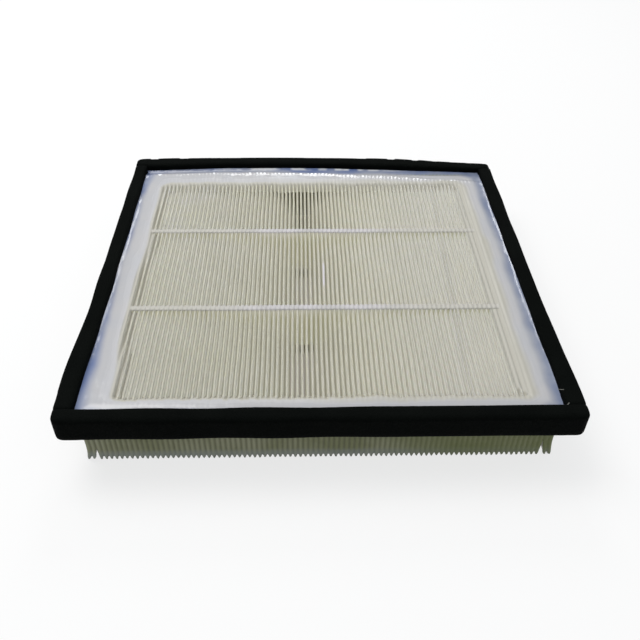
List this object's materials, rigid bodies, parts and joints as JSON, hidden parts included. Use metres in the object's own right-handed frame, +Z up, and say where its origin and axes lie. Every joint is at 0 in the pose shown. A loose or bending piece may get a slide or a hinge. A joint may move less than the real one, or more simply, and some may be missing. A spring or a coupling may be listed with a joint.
{
  "type": "pleated hepa filter panel",
  "caption": "Flexible pleated air filter panel: one folded cream media sheet with hot-melt spacer beads, a milky poured border and a black foam gasket.",
  "frame": {"origin": "centre of the panel's footprint, on the plane that it rests on", "axes": "+X along the panel's width, across the pleats; +Y toward the bowed rear strip, along the pleats; +Z up, out of the gasket's sealing face"},
  "size_m": [0.35, 0.3433, 0.0556],
  "materials": {
    "media_paper": "matte cream glass-fibre paper",
    "hot_melt": "satin milky hot melt",
    "end_film": "thin translucent film over the pleat ends",
    "border_melt": "glossy milky hot melt",
    "gasket_foam": "matte closed-cell foam"
  },
  "bodies": {
    "root": {"pleated_media": "media_paper", "upper_bead_front": "hot_melt", "upper_bead_rear": "hot_melt", "lower_bead_front": "hot_melt", "lower_bead_rear": "hot_melt", "end_seal_front": "end_film", "end_seal_rear": "end_film", "hot_melt_border": "border_melt", "gasket_front": "gasket_foam", "gasket_rear": "gasket_foam", "gasket_left": "gasket_foam", "gasket_right": "gasket_foam"}
  },
  "joints": []
}
